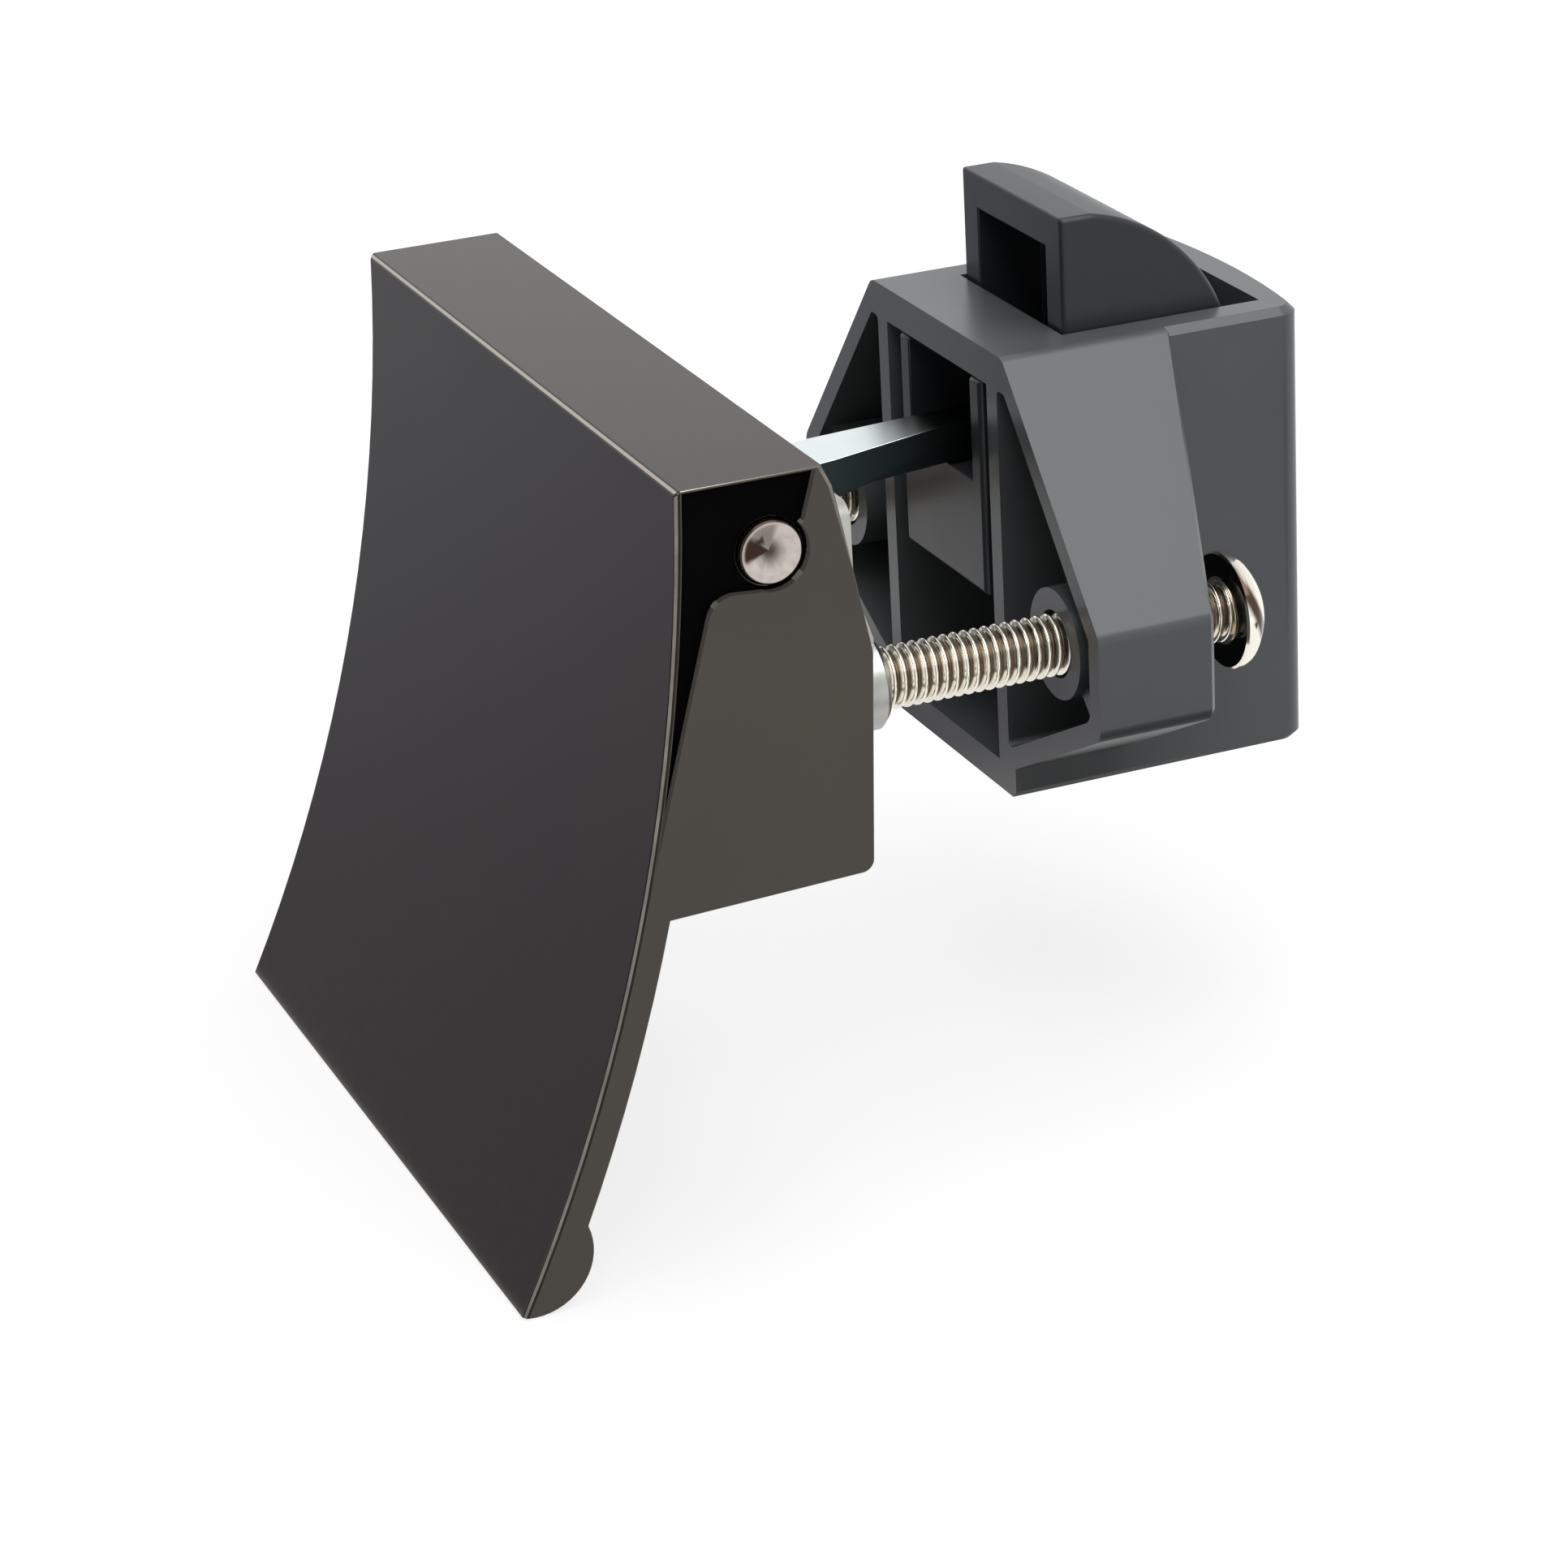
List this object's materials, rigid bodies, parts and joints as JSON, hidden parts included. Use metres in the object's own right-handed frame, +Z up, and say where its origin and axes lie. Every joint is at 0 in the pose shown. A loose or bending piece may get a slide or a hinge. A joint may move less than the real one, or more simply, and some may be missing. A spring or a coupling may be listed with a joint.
{
  "type": "pull-handle cabinet latch",
  "caption": "Flip-out pull handle on a hidden pivot whose steel finger draws a sprung wedge bolt down inside a moulded lock case clamped through the door.",
  "frame": {"origin": "on the door's outer face, where the back of the handle base lies, midway between the two screw axes", "axes": "+X along the handle's width, +Y from the outside of the door into the cabinet, +Z up, the way the bolt stands out"},
  "size_m": [0.056, 0.0636, 0.0557],
  "materials": {
    "handle": "black electroplated zinc casting, satin gloss",
    "handle_base": "bright zinc casting",
    "pivot_pin": "plain steel, ends turned with a dimple",
    "actuator_lever": "bright zinc-plated steel",
    "lever_rivet": "plain steel",
    "lock_body": "moulded dark grey, fine satin",
    "latch_bolt": "moulded dark grey, fine satin",
    "bolt_spring": "drawn spring wire",
    "mounting_screw_left": "nickel-plated steel",
    "mounting_screw_right": "nickel-plated steel"
  },
  "bodies": {
    "frame": {"handle_base": "handle_base", "pivot_pin": "pivot_pin", "lock_body": "lock_body", "mounting_screw_left": "mounting_screw_left", "mounting_screw_right": "mounting_screw_right", "bolt_spring": "bolt_spring"},
    "pull": {"handle": "handle", "actuator_lever": "actuator_lever", "lever_rivet": "lever_rivet"},
    "bolt": {"latch_bolt": "latch_bolt"}
  },
  "joints": [
    {"name": "handle_pull", "type": "hinge", "parent": "frame", "child": "pull", "pos_m": [0, -0.00615, 0.014], "axis": [-1, 0, 0], "range_deg": [0, 15.5]},
    {"name": "bolt_drop", "type": "slide", "parent": "frame", "child": "bolt", "axis": [0, 0, -1], "range_m": [0, 0.0075], "stiffness_N_per_m": 300, "springref_m": -0.01, "deforming": ["bolt_spring"]}
  ],
  "couplings": [
    {"joint": "bolt_drop", "follows": "handle_pull", "m_per_rad": 0.0277}
  ]
}
